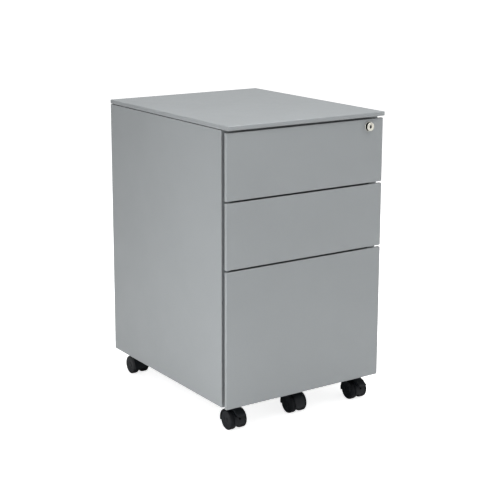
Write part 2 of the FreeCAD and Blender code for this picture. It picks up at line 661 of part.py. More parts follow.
# ---------------------------------------------------------------- build everything
def main():
    os.makedirs("parts", exist_ok=True)
    export("top_panel", top_panel())
    export("top_plate", top_plate())
    export("back_panel", back_panel())
    export("base_tray", base_tray())
    export("front_top_rail", front_top_rail())
    export("lock_bar", lock_bar())
    for side, sign in (("left", -1), ("right", 1)):
        export(side + "_side_panel", side_panel(sign))
        export(side + "_front_upright", upright(sign, INNER_BACK + UPRIGHT_SETBACK))
        export(side + "_rear_upright", upright(sign, REAR_UPRIGHT_Y))
        for name in DRAWERS:
            export(name + "_" + side + "_cabinet_slide", cabinet_member(sign, name))
            export(name + "_" + side + "_middle_slide", middle_member(sign, name))
            export(name + "_" + side + "_drawer_slide", drawer_member(sign, name))
    for name in DRAWERS:
        export(name + "_face", drawer_face(name))
        export(name + "_inner_front", inner_front(name))
        export(name + "_box", drawer_box(name))
    export("pen_tray", pen_tray())
    export("hanging_file_rails", hanging_file_rails())
    export("middle_castor_bracket", castor_bracket())
    export("lock_barrel", lock_barrel())
    export("lock_clip", lock_clip())
    export("lock_plug", lock_plug())
    export("lock_cam", lock_cam())
    corner_plates = []
    for place, x, axle_y, toward in castor_places():
        swivel_y = axle_y - toward * TRAIL
        plate = castor_plate(x, swivel_y)
        if place == "middle":
            export("middle_castor_plate", plate)
        else:
            corner_plates.append(plate)
        braked = place.startswith("front")
        hood = castor_hood(x, swivel_y, toward, braked)
        if braked:
            pin_y = axle_y - BRAKE_PIN_Y
            pin_z = WHEEL_RADIUS + BRAKE_PIN_RISE
            bore = rod_x(x - PEDAL_HALF, x + PEDAL_HALF, pin_y, pin_z, BRAKE_PIN_RADIUS + RUNNING_FIT)
            hood = hood.cut(bore)
            export(place + "_brake_pedal", brake_pedal(x, axle_y))
        export(place + "_castor_hood", hood)
        export(place + "_castor_wheels", castor_wheels(x, axle_y))
    export("corner_castor_plates", Part.makeCompound(corner_plates))


main()
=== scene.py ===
import json
import math

import bmesh
import bpy
from mathutils import Matrix, Vector


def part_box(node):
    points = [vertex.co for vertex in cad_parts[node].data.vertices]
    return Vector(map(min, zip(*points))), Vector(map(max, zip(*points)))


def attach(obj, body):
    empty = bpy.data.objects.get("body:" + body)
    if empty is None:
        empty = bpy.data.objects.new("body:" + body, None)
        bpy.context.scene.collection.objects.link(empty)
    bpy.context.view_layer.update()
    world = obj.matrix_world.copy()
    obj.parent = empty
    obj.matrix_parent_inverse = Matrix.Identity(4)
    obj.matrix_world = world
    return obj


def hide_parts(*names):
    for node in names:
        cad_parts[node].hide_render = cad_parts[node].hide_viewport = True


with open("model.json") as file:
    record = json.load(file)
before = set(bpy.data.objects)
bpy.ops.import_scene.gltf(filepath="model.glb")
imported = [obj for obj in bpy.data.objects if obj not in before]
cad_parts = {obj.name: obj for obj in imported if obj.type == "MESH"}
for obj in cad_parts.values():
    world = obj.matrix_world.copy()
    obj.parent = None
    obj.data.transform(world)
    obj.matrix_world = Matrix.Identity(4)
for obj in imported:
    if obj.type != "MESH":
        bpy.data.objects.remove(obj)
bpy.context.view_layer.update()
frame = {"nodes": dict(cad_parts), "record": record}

# Everything is in metres, in the frame of the CAD model: drawers open towards -Y, +Z is up.
MM = 0.001
NODES = frame["nodes"]
BODY_OF = {}
for body_name, node_names in frame["record"]["behaviour"]["bodies"].items():
    for node_name in node_names:
        BODY_OF[node_name] = body_name
JOINTS = {joint["name"]: joint for joint in frame["record"]["behaviour"]["joints"]}
DRAWERS = ("top_drawer", "middle_drawer", "file_drawer")
CASTORS = ("front_left", "front_right", "rear_left", "rear_right", "middle")
BRAKED = ("front_left", "front_right")


# ---------------------------------------------------------------- shader helpers
def new_material(name):
    material = bpy.data.materials.new(name)
    material.use_nodes = True
    tree = material.node_tree
    return material, tree, tree.nodes["Principled BSDF"]


def add_node(tree, kind, inputs=None, **settings):
    """Adds a shader node; an input given as a socket is linked, any other value is set."""
    node = tree.nodes.new(kind)
    for key, value in settings.items():
        setattr(node, key, value)
    for key, value in (inputs or {}).items():
        if isinstance(value, bpy.types.NodeSocket):
            tree.links.new(value, node.inputs[key])
        else:
            node.inputs[key].default_value = value
    return node


def place_on_surface(tree, stretch=(1, 1, 1)):
    """Coordinates in metres that stay with the piece."""
    coords = add_node(tree, "ShaderNodeTexCoord")
    mapping = add_node(tree, "ShaderNodeMapping", {"Vector": coords.outputs["Object"], "Scale": stretch})
    return mapping.outputs["Vector"]


def noise(tree, place, scale, detail=2.0, roughness=0.5):
    node = add_node(
        tree, "ShaderNodeTexNoise",
        {"Vector": place, "Scale": scale, "Detail": detail, "Roughness": roughness},
    )
    return node.outputs["Fac"]


def remap(tree, value, low, high, to_low, to_high):
    node = add_node(
        tree, "ShaderNodeMapRange",
        {"Value": value, "From Min": low, "From Max": high, "To Min": to_low, "To Max": to_high},
    )
    return node.outputs["Result"]


def maths(tree, operation, first, second):
    node = add_node(tree, "ShaderNodeMath", {0: first, 1: second}, operation=operation)
    return node.outputs["Value"]


def mix_colour(tree, factor, first, second, blend="MIX"):
    node = tree.nodes.new("ShaderNodeMix")
    node.data_type = "RGBA"
    node.blend_type = blend
    for socket, value in ((node.inputs[0], factor), (node.inputs[6], first), (node.inputs[7], second)):
        if isinstance(value, bpy.types.NodeSocket):
            tree.links.new(value, socket)
        elif isinstance(value, tuple) and len(value) == 3:
            socket.default_value = (*value, 1.0)
        else:
            socket.default_value = value
    return node.outputs[2]


def grey_scale(tree, value, colour):
    """The colour, brightened or darkened by a value around 1."""
    grey = add_node(tree, "ShaderNodeCombineColor", {"Red": value, "Green": value, "Blue": value})
    return mix_colour(tree, 1.0, colour, grey.outputs["Color"], "MULTIPLY")


def bump(tree, height, distance, strength=1.0, under=None):
    inputs = {"Height": height, "Distance": distance, "Strength": strength}
    if under is not None:
        inputs["Normal"] = under
    return add_node(tree, "ShaderNodeBump", inputs).outputs["Normal"]


def edge_mask(tree, radius, low, high):
    """1 along sharp outer edges, 0 on flats: how far a rounded normal leans from the true one."""
    rounded = add_node(tree, "ShaderNodeBevel", {"Radius": radius}, samples=4)
    geometry = add_node(tree, "ShaderNodeNewGeometry")
    lean = add_node(tree, "ShaderNodeVectorMath", operation="DOT_PRODUCT")
    tree.links.new(rounded.outputs["Normal"], lean.inputs[0])
    tree.links.new(geometry.outputs["Normal"], lean.inputs[1])
    return remap(tree, lean.outputs["Value"], high, low, 0.0, 1.0)


# ---------------------------------------------------------------- materials
# reach and darkest level of the painted shade in each seam and gap
SEAM_SHADE_REACH = 14.0 * MM
SEAM_SHADE_DARKEST = 0.25
SILVER = (0.345, 0.365, 0.375)
ZINC_GREY = (0.62, 0.63, 0.63)
BAR_GREY = (0.6, 0.61, 0.62)
BALL_GREY = (0.66, 0.66, 0.67)
WARM_NICKEL = (0.97, 0.95, 0.86)
# painted shade: black for the lock's collar side, flange front and keyway walls
LOCK_SHADE_BLACK = (0.006, 0.006, 0.006)
NYLON_BLACK = (0.008, 0.0095, 0.012)
TREAD_BLACK = (0.006, 0.007, 0.009)
FLOOR_DUST = (0.03, 0.03, 0.03)
TRAY_GREY = (0.035, 0.036, 0.038)
STUDIO_WHITE = (0.86, 0.86, 0.86)
FLOOR_GLOW = 0.0
SEEN_GLOW = 0.8


def seam_shade_factor(tree, reach, darkest):
    """Near 1 in the open, falling to the darkest value deep in each seam and gap: painted shade."""
    hidden = add_node(tree, "ShaderNodeAmbientOcclusion", {"Distance": reach}, samples=8)
    return remap(tree, hidden.outputs["AO"], 0.1, 0.7, darkest, 1.0)


def powder_coat(name, colour, metal, rough, peel):
    """Silver powder coat: orange peel, metallic fleck, faint clouds, edge wear with a painted highlight,
    and painted shade in every seam.
    """
    material, tree, shader = new_material(name)
    place = place_on_surface(tree)
    clouds = remap(tree, noise(tree, place, 7.0, 3.0), 0.3, 0.7, 0.985, 1.015)
    fleck = add_node(tree, "ShaderNodeTexVoronoi", {"Vector": place, "Scale": 2600.0})
    fleck_level = add_node(tree, "ShaderNodeSeparateColor", {"Color": fleck.outputs["Color"]})
    sparkle = remap(tree, fleck_level.outputs["Red"], 0.0, 1.0, 0.965, 1.035)
    # painted shade: the colour darkens deep in each seam and gap
    seam_shade = seam_shade_factor(tree, SEAM_SHADE_REACH, SEAM_SHADE_DARKEST)
    level = maths(tree, "MULTIPLY", maths(tree, "MULTIPLY", clouds, sparkle), seam_shade)
    base = grey_scale(tree, level, colour)
    patchy = remap(tree, noise(tree, place, 240.0, 3.0), 0.35, 0.7, 0.0, 1.0)
    # edge wear together with a painted highlight: rounded edges brightened as if catching the overhead
    # light
    edge_wear_and_highlight = maths(tree, "MULTIPLY", edge_mask(tree, 1.1 * MM, 0.80, 0.985), patchy)
    wear_and_highlight_colour = tuple(min(1.0, part * 1.42) for part in colour)
    rubbed_and_highlit = mix_colour(tree, maths(tree, "MULTIPLY", edge_wear_and_highlight, 0.7), base, wear_and_highlight_colour)
    tree.links.new(rubbed_and_highlit, shader.inputs["Base Color"])
    smudge = remap(tree, noise(tree, place, 22.0, 4.0, 0.6), 0.35, 0.7, rough - 0.03, rough + 0.05)
    tree.links.new(smudge, shader.inputs["Roughness"])
    shader.inputs["Metallic"].default_value = metal
    shader.inputs["Specular IOR Level"].default_value = 0.5
    coarse = bump(tree, noise(tree, place, 430.0, 2.0), peel * 0.1 * MM, 1.0)
    fine = bump(tree, noise(tree, place, 1900.0, 2.0), peel * 0.016 * MM, 1.0, coarse)
    tree.links.new(fine, shader.inputs["Normal"])
    return material


def zinc_plate(name, colour, rough, along):
    """Zinc-plated steel with drawing lines along one axis and dull spots."""
    material, tree, shader = new_material(name)
    stretch = tuple(0.04 if axis == along else 1.0 for axis in range(3))
    lines = noise(tree, place_on_surface(tree, stretch), 1500.0, 3.0, 0.6)
    place = place_on_surface(tree)
    bloom = noise(tree, place, 60.0, 4.0, 0.6)
    shade = remap(tree, bloom, 0.3, 0.75, 0.88, 1.08)
    tree.links.new(grey_scale(tree, shade, colour), shader.inputs["Base Color"])
    drawn = remap(tree, lines, 0.3, 0.7, rough - 0.05, rough + 0.07)
    dull = remap(tree, bloom, 0.3, 0.7, -0.03, 0.06)
    tree.links.new(maths(tree, "ADD", drawn, dull), shader.inputs["Roughness"])
    shader.inputs["Metallic"].default_value = 0.95
    tree.links.new(bump(tree, lines, 0.01 * MM), shader.inputs["Normal"])
    return material


def nickel(name):
    """Satin nickel of the lock, hazy and with fine scratches."""
    material, tree, shader = new_material(name)
    place = place_on_surface(tree)
    scratches = noise(tree, place_on_surface(tree, (1.0, 1.0, 0.12)), 2600.0, 2.0)
    haze = noise(tree, place, 300.0, 3.0)
    shade = remap(tree, haze, 0.3, 0.7, 0.95, 1.03)
    tree.links.new(grey_scale(tree, shade, WARM_NICKEL), shader.inputs["Base Color"])
    tree.links.new(remap(tree, scratches, 0.3, 0.7, 0.3, 0.42), shader.inputs["Roughness"])
    shader.inputs["Metallic"].default_value = 1.0
    tree.links.new(bump(tree, scratches, 0.006 * MM), shader.inputs["Normal"])
    return material


def moulded(name, colour, rough, grain_mm, grain_depth_mm, dust, shine):
    """Moulded plastic: fine spark-eroded grain, slight shine variation, light scuffs on its edges that are
    partly a painted sheen.
    """
    material, tree, shader = new_material(name)
    place = place_on_surface(tree)
    grain_inputs = {"Vector": place, "Scale": 1.0 / (grain_mm * MM)}
    grain = add_node(tree, "ShaderNodeTexVoronoi", grain_inputs, feature="SMOOTH_F1")
    clouds = noise(tree, place, 45.0, 4.0, 0.6)
    base = grey_scale(tree, remap(tree, clouds, 0.3, 0.7, 0.85, 1.18), colour)
    patchy = remap(tree, noise(tree, place, 500.0, 3.0), 0.42, 0.7, 0.0, 1.0)
    # the dust amount sets how far the edges turn light: scuffs, partly a painted sheen
    scuff_and_sheen = maths(tree, "MULTIPLY", edge_mask(tree, 0.7 * MM, 0.75, 0.98), patchy)
    scuff_and_sheen_colour = tuple(0.5 * part + 0.028 for part in colour)
    scuffed_and_sheened = mix_colour(tree, maths(tree, "MULTIPLY", scuff_and_sheen, dust), base, scuff_and_sheen_colour)
    tree.links.new(scuffed_and_sheened, shader.inputs["Base Color"])
    tree.links.new(remap(tree, clouds, 0.3, 0.7, rough - 0.06, rough + 0.08), shader.inputs["Roughness"])
    shader.inputs["Specular IOR Level"].default_value = shine
    tree.links.new(bump(tree, grain.outputs["Distance"], grain_depth_mm * MM, 0.6), shader.inputs["Normal"])
    return material


def tread_rubber(name):
    """Running surface of the wheels: dull, with rolling marks round it and floor dust."""
    material, tree, shader = new_material(name)
    place = place_on_surface(tree)
    rings = noise(tree, place_on_surface(tree, (6.0, 1.0, 1.0)), 260.0, 3.0)
    dust = noise(tree, place, 120.0, 4.0, 0.65)
    amount = remap(tree, dust, 0.5, 0.75, 0.0, 0.35)
    dusty = mix_colour(tree, amount, TREAD_BLACK, FLOOR_DUST)
    tree.links.new(dusty, shader.inputs["Base Color"])
    tree.links.new(remap(tree, dust, 0.3, 0.7, 0.5, 0.68), shader.inputs["Roughness"])
    shader.inputs["Specular IOR Level"].default_value = 0.16
    tree.links.new(bump(tree, rings, 0.03 * MM, 0.7), shader.inputs["Normal"])
    return material


def matt_floor(name, glow):
    """White studio paint; the glow stands for the light that a lit cyclorama sends back."""
    material, tree, shader = new_material(name)
    place = place_on_surface(tree)
    cloud = remap(tree, noise(tree, place, 1.2, 3.0), 0.3, 0.7, 0.99, 1.01)
    tone = grey_scale(tree, cloud, STUDIO_WHITE)
    tree.links.new(tone, shader.inputs["Base Color"])
    shader.inputs["Roughness"].default_value = 0.9
    shader.inputs["Specular IOR Level"].default_value = 0.1
    shader.inputs["Emission Color"].default_value = (1.0, 1.0, 1.0, 1.0)
    shader.inputs["Emission Strength"].default_value = glow
    return material


PAINT = powder_coat("silver_powder_coat", SILVER, metal=0.25, rough=0.42, peel=1.0)
INNER_PAINT = powder_coat("silver_powder_coat_inside", SILVER, metal=0.2, rough=0.5, peel=1.3)
ZINC = zinc_plate("zinc_plated_steel", ZINC_GREY, rough=0.32, along=1)
ZINC_UPRIGHT = zinc_plate("zinc_plated_bar", BAR_GREY, rough=0.34, along=2)
NICKEL = nickel("satin_nickel")
# painted shade on the lock's collar side, flange front and keyway walls
LOCK_SHADE_PAINT = moulded(
    "lock_painted_shade", LOCK_SHADE_BLACK, rough=0.5, grain_mm=0.4, grain_depth_mm=0.004, dust=0.2, shine=0.1
)
NICKEL_BALL = zinc_plate("bearing_steel", BALL_GREY, rough=0.14, along=0)
NYLON = moulded(
    "castor_nylon", NYLON_BLACK, rough=0.45, grain_mm=0.55, grain_depth_mm=0.012, dust=0.3, shine=0.26
)
HUB_NYLON = moulded(
    "castor_hub_nylon", NYLON_BLACK, rough=0.42, grain_mm=0.5, grain_depth_mm=0.01, dust=0.3, shine=0.16
)
TRAY_PLASTIC = moulded(
    "pen_tray_plastic", TRAY_GREY, rough=0.5, grain_mm=0.8, grain_depth_mm=0.03, dust=0.35, shine=0.45
)
TREAD = tread_rubber("castor_tread")


# ---------------------------------------------------------------- mesh helpers
def new_piece(name, mesh, material, body, replaced=()):
    """A finished piece: mesh or bmesh to object, with its material and body."""
    if isinstance(mesh, bmesh.types.BMesh):
        data = bpy.data.meshes.new(name)
        mesh.to_mesh(data)
        mesh.free()
    else:
        data = mesh
    piece = bpy.data.objects.new(name, data)
    bpy.context.scene.collection.objects.link(piece)
    for each in material if isinstance(material, (list, tuple)) else [material]:
        data.materials.append(each)
    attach(piece, body)
    if replaced:
        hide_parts(*replaced)
    return piece


def smooth_by_angle(data, degrees):
    """Smooth shading, with edges sharper than the angle kept sharp."""
    for polygon in data.polygons:
        polygon.use_smooth = True
    bm = bmesh.new()
    bm.from_mesh(data)
    limit = math.radians(degrees)
    for edge in bm.edges:
        edge.smooth = len(edge.link_faces) == 2 and edge.calc_face_angle(0.0) < limit
    bm.to_mesh(data)
    bm.free()


def round_edges(piece, width_mm, segments=2, degrees=35.0):
    bevel = piece.modifiers.new("rounded_edges", "BEVEL")
    bevel.width = width_mm * MM
    bevel.segments = segments
    bevel.limit_method = "ANGLE"
    bevel.angle_limit = math.radians(degrees)
    bevel.harden_normals = True
    bevel.use_clamp_overlap = True


def refined(node, material, width_mm=0.25, segments=2):
    """The CAD node's own shape with clean flats and softly rounded edges."""
    data = NODES[node].data.copy()
    bm = bmesh.new()
    bm.from_mesh(data)
    bmesh.ops.remove_doubles(bm, verts=bm.verts, dist=0.001 * MM)
    bmesh.ops.dissolve_limit(bm, angle_limit=math.radians(0.4), verts=bm.verts, edges=bm.edges)
    piece = new_piece("fine_" + node, bm, material, BODY_OF[node], [node])
    smooth_by_angle(piece.data, 35.0)
    round_edges(piece, width_mm, segments)
    bpy.data.meshes.remove(data)
    return piece


def box_verts(bm, low, high):
    """Adds a closed box and returns its geometry."""
    made = bmesh.ops.create_cube(bm, size=1.0)
    size = Vector(high) - Vector(low)
    middle = (Vector(high) + Vector(low)) / 2
    bmesh.ops.scale(bm, vec=size, verts=made["verts"])
    bmesh.ops.translate(bm, vec=middle, verts=made["verts"])
    return made["verts"]


def lathe(bm, profile, centre, axis, steps=64):
    """Turns (along, radius) points round an axis through the centre; returns the new faces."""
    axis = Vector(axis).normalized()
    side = axis.orthogonal().normalized()
    other = axis.cross(side)
    rings = []
    for along, radius in profile:
        if radius < 1e-7:
            rings.append([bm.verts.new(Vector(centre) + axis * along)])
            continue
        ring = []
        for step in range(steps):
            angle = 2 * math.pi * step / steps
            offset = side * (radius * math.cos(angle)) + other * (radius * math.sin(angle))
            ring.append(bm.verts.new(Vector(centre) + axis * along + offset))
        rings.append(ring)
    faces = []
    for first, second in zip(rings, rings[1:]):
        for step in range(steps):
            after = (step + 1) % steps
            if len(first) == 1 and len(second) == 1:
                break
            if len(first) == 1:
                faces.append(bm.faces.new((first[0], second[step], second[after])))
            elif len(second) == 1:
                faces.append(bm.faces.new((first[step], second[0], first[after])))
            else:
                faces.append(bm.faces.new((first[step], second[step], second[after], first[after])))
    return faces


def arc(centre_along, centre_radius, size, start, end, steps):
    """Profile points on a rounded corner, angles in degrees from the axis direction."""
    points = []
    for step in range(steps + 1):
        angle = math.radians(start + (end - start) * step / steps)
        points.append((centre_along + size * math.cos(angle), centre_radius + size * math.sin(angle)))
    return points


def folded_tray(name, low, high, open_side, sheet, radius, rim, material, node):
    """A folded sheet-steel tray: five sides with bend radii, open on one side, with an optional rim."""
    bm = bmesh.new()
    box_verts(bm, low, high)
    axis = 1 if open_side[1] else 2
    direction = open_side[axis]
    lid = max(bm.faces, key=lambda face: face.calc_center_median()[axis] * direction)
    if rim:
        bmesh.ops.inset_region(bm, faces=[lid], thickness=rim, use_even_offset=True)
    bmesh.ops.delete(bm, geom=[lid], context="FACES_ONLY")
    bends = [edge for edge in bm.edges if len(edge.link_faces) == 2 and edge.calc_face_angle(0.0) > 1.0]
    bmesh.ops.bevel(
        bm, geom=bends, offset=radius, offset_type="OFFSET", segments=5, profile=0.5, affect="EDGES",
        clamp_overlap=True,
    )
    bmesh.ops.recalc_face_normals(bm, faces=bm.faces)
    middle = (Vector(low) + Vector(high)) / 2
    front = min(bm.faces, key=lambda face: face.calc_center_median()[axis] * direction)
    outward = (front.calc_center_median() - middle)[axis] * front.normal[axis] > 0
    if not outward:
        bmesh.ops.reverse_faces(bm, faces=bm.faces)
    piece = new_piece(name, bm, material, BODY_OF[node], [node])
    thick = piece.modifiers.new("sheet", "SOLIDIFY")
    thick.thickness = sheet
    thick.offset = -1.0
    thick.use_even_offset = True
    smooth_by_angle(piece.data, 50.0)
    round_edges(piece, 0.15, 1, 60.0)
    return piece


def cut_with(piece, cutter_bm):
    """Subtracts a closed shape from a piece and applies the result to its mesh."""
    data = bpy.data.meshes.new("cutter")
    cutter_bm.to_mesh(data)
    cutter_bm.free()
    cutter = bpy.data.objects.new("cutter", data)
    bpy.context.scene.collection.objects.link(cutter)
    modifier = piece.modifiers.new("cut", "BOOLEAN")
    modifier.object = cutter
    modifier.solver = "EXACT"
    graph = bpy.context.evaluated_depsgraph_get()
    result = bpy.data.meshes.new_from_object(piece.evaluated_get(graph))
    piece.modifiers.clear()
    old = piece.data
    piece.data = result
    bpy.data.meshes.remove(old)
    bpy.data.objects.remove(cutter)
    bpy.data.meshes.remove(data)


# ---------------------------------------------------------------- carcass and drawers
TOP_SHEET = 1.2 * MM
TOP_BEND = 1.6 * MM
TOP_RIM = 18.0 * MM
FACE_SHEET = 1.0 * MM
FACE_BEND = 1.3 * MM
LOCK_HOLE = 7.35 * MM
LOCK_HOLE_REACH = 3.0 * MM
PAINTED_NODES = (
    "left_side_panel", "right_side_panel", "back_panel", "top_plate", "base_tray", "front_top_rail",
)
BAR_NODES = ("lock_bar", "middle_castor_bracket", "hanging_file_rails")
PLATED_NODES = ("middle_castor_plate", "corner_castor_plates", "lock_clip", "lock_cam")
# edge roundings, in millimetres
THIN_EDGE = 0.2
SLIDE_EDGE = 0.25
FOLD_EDGE = 0.3
HOOD_EDGE = 0.4
SOFT_EDGE = 0.6


def make_top():
    low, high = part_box("top_panel")
    folded_tray("top_panel_skin", low, high, (0, 0, -1), TOP_SHEET, TOP_BEND, TOP_RIM, PAINT, "top_panel")


def make_drawer_face(drawer):
    """The folded face; the top one has the lock's hole through it."""
    node = drawer + "_face"
    low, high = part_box(node)
    face = folded_tray(node + "_skin", low, high, (0, 1, 0), FACE_SHEET, FACE_BEND, 0.0, PAINT, node)
    if drawer == "top_drawer":
        hole = bmesh.new()
        centre = Vector(JOINTS["lock_turn"]["pos_m"])
        profile = [(-LOCK_HOLE_REACH, 0.0), (-LOCK_HOLE_REACH, LOCK_HOLE)]
        profile += [(LOCK_HOLE_REACH, LOCK_HOLE), (LOCK_HOLE_REACH, 0.0)]
        lathe(hole, profile, (centre.x, low[1], centre.z), (0, 1, 0))
        bmesh.ops.recalc_face_normals(hole, faces=hole.faces)
        cut_with(face, hole)


def make_sheet_parts():
    """Every other steel part and the pen tray keep their CAD shape, with softened edges."""
    for node in PAINTED_NODES:
        refined(node, PAINT, THIN_EDGE)
    for side in ("left", "right"):
        for end in ("front", "rear"):
            refined(f"{side}_{end}_upright", INNER_PAINT, FOLD_EDGE)
        for drawer in DRAWERS:
            for member in ("cabinet", "middle", "drawer"):
                refined(f"{drawer}_{side}_{member}_slide", ZINC, SLIDE_EDGE)
    for drawer in DRAWERS:
        refined(drawer + "_inner_front", INNER_PAINT, FOLD_EDGE)
        refined(drawer + "_box", INNER_PAINT, FOLD_EDGE)
    for node in BAR_NODES:
        refined(node, ZINC_UPRIGHT, FOLD_EDGE)
    for node in PLATED_NODES:
        refined(node, ZINC, THIN_EDGE)
    refined("pen_tray", TRAY_PLASTIC, SOFT_EDGE, 3)


# ---------------------------------------------------------------- lock
LOCK_STEPS = 96
LOCK_BORE = 5.7 * MM
LOCK_HEAD = 8.7 * MM
LOCK_COLLAR = 8.0 * MM
LOCK_BODY = 7.3 * MM
LOCK_CAP = 1.2 * MM
LOCK_CAP_ROUNDING = 0.8 * MM
LOCK_FLANGE = 1.0 * MM
KEYWAY_DEPTH = 8.0 * MM
# half width and half height of the slot and of the square in its middle
KEYWAY_CUTS = ((1.3 * MM, 3.6 * MM), (2.2 * MM, 2.2 * MM))
KEYWAY_REACH = 4.6 * MM


def barrel_profile(proud, back, radius):
    """Barrel outline from the bore over cap, collar and flange to the body, and the strips painted black as
    shade.
    """
    inner = LOCK_HEAD - LOCK_CAP_ROUNDING
    front = proud - LOCK_FLANGE
    profile = [(back, LOCK_BORE), (0.35 * MM, LOCK_BORE), (0.08 * MM, LOCK_BORE + 0.18 * MM)]
    profile += [(0.0, LOCK_BORE + 0.4 * MM), (0.0, inner)]
    profile += arc(LOCK_CAP_ROUNDING, inner, LOCK_CAP_ROUNDING, 180, 90, 5)
    profile += [(LOCK_CAP - 0.2 * MM, LOCK_HEAD), (LOCK_CAP, LOCK_HEAD - 0.2 * MM)]
    # from here the collar and flange front are painted black as shade
    shade_from = len(profile) - 1
    profile += [(LOCK_CAP, LOCK_COLLAR), (front, LOCK_COLLAR), (front, radius - 0.9 * MM)]
    shade_until = len(profile) - 1
    profile += [(front - 0.25 * MM, radius - 0.7 * MM), (front - 0.2 * MM, radius - 0.3 * MM)]
    profile += [(front + 0.3 * MM, radius), (proud, radius)]
    profile += [(proud, LOCK_BODY), (back, LOCK_BODY), (back, LOCK_BORE)]
    return profile, range(shade_from, shade_until)


def make_barrel(centre):
    """The barrel: bright cap and flange rim; collar and flange front painted black as shade."""
    low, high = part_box("lock_barrel")
    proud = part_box("top_drawer_face")[0][1] - low[1]
    profile, shade_strips = barrel_profile(proud, high[1] - low[1], (high[0] - low[0]) / 2)
    bm = bmesh.new()
    faces = lathe(bm, profile, (centre.x, low[1], centre.z), (0, 1, 0), LOCK_STEPS)
    for index, face in enumerate(faces):
        face.material_index = int(index // LOCK_STEPS in shade_strips)
    bmesh.ops.remove_doubles(bm, verts=bm.verts, dist=0.0005 * MM)
    bmesh.ops.recalc_face_normals(bm, faces=bm.faces)
    materials = [NICKEL, LOCK_SHADE_PAINT]
    barrel = new_piece(
        "lock_barrel_turned", bm, materials, BODY_OF["lock_barrel"], ["lock_barrel"]
    )
    smooth_by_angle(barrel.data, 35.0)


def make_plug(centre):
    """The turning plug, with a keyway cut into its face whose walls are painted black as shade."""
    low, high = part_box("lock_plug")
    front = low[1]
    length = high[1] - front
    radius = (high[0] - low[0]) / 2
    bm = bmesh.new()
    profile = [(0.0, 0.0), (0.0, radius - 0.6 * MM), (0.1 * MM, radius - 0.25 * MM)]
    profile += [(0.4 * MM, radius), (length, radius), (length, 0.0)]
    lathe(bm, profile, (centre.x, front, centre.z), (0, 1, 0), LOCK_STEPS)
    bmesh.ops.recalc_face_normals(bm, faces=bm.faces)
    plug = new_piece("lock_plug_turned", bm, NICKEL, BODY_OF["lock_plug"], ["lock_plug"])
    for half_x, half_z in KEYWAY_CUTS:
        cutter = bmesh.new()
        box_verts(
            cutter, (centre.x - half_x, front - MM, centre.z - half_z),
            (centre.x + half_x, front + KEYWAY_DEPTH, centre.z + half_z),
        )
        cut_with(plug, cutter)
    plug.data.materials.clear()
    plug.data.materials.append(NICKEL)
    plug.data.materials.append(LOCK_SHADE_PAINT)
    # the keyway walls take the black of painted shade
    for polygon in plug.data.polygons:
        off = polygon.center - centre
        inside = math.hypot(off.x, off.z) < KEYWAY_REACH and polygon.center.y > front + 0.01 * MM
        polygon.material_index = int(inside and polygon.center.y < front + KEYWAY_DEPTH + MM)
    smooth_by_angle(plug.data, 35.0)
    round_edges(plug, 0.1, 2, 50.0)


def make_lock():
    centre = Vector(JOINTS["lock_turn"]["pos_m"])
    make_barrel(centre)
    make_plug(centre)


# ---------------------------------------------------------------- castors
WHEEL_STEPS = 96
WHEEL_INNER = 3.8 * MM
WHEEL_WIDTH = 14.8 * MM
WHEEL_RADIUS = 20.0 * MM
WHEEL_BORE = 3.05 * MM
INNER_ROUNDING = 5.0 * MM
OUTER_ROUNDING = 2.2 * MM
AXLE_RADIUS = 3.0 * MM
AXLE_IN_WHEEL = 1.0 * MM
# groove, disc and hub cap of a wheel's outer face: depth below its end and radius, in millimetres
WHEEL_FACE = (
    (0.0, 17.3), (0.12, 17.1), (0.5, 16.9), (0.5, 16.5), (0.1, 16.2), (0.05, 12.0),
    (0.3, 7.0), (0.9, 6.4), (0.9, 5.6), (0.35, 5.2), (0.1, 3.5), (0.05, 0.0),
)
HOOD_HOLE_FROM_AXLE = Vector((0.4 * MM, 0, 5.8 * MM))
# blind hole in a hood's shield: distance in front of the axle and radius, in millimetres
HOOD_HOLE = ((16.5, 0.0), (16.5, 2.1), (21.0, 2.3), (24.0, 2.9), (24.0, 0.0))
# grip ribs on a pedal: distance forward of and above the axle, in millimetres
PEDAL_RIBS = ((20.0, 19.9), (22.0, 18.7), (24.2, 17.4), (26.2, 17.05), (28.2, 16.7))
RIB_HALF = 7.6 * MM
RIB_RADIUS = 0.45 * MM


def wheel_mesh(bm, centre, side):
    """One wheel: rounded tread, grooved outer face with a hub cap, and a plain inner face."""
    start = WHEEL_INNER
    end = WHEEL_INNER + WHEEL_WIDTH
    inside = [(start, WHEEL_BORE), (start, 9 * MM)]
    inside += [(start + 0.4 * MM, 9.4 * MM), (start + 0.4 * MM, 14.6 * MM)]
    tread = arc(start + INNER_ROUNDING, WHEEL_RADIUS - INNER_ROUNDING, INNER_ROUNDING, 180, 94, 9)
    tread += [(start + 6.5 * MM, WHEEL_RADIUS), (end - 5.0 * MM, WHEEL_RADIUS)]
    tread += arc(end - OUTER_ROUNDING, WHEEL_RADIUS - OUTER_ROUNDING, OUTER_ROUNDING, 84, 12, 5)
    outside = [(end - depth * MM, radius * MM) for depth, radius in WHEEL_FACE]
    faces = lathe(bm, inside + tread + outside, centre, (side, 0, 0), WHEEL_STEPS)
    tread_strips = range(len(inside), len(inside) + len(tread) - 1)
    for index, face in enumerate(faces):
        face.material_index = int(index // WHEEL_STEPS in tread_strips)


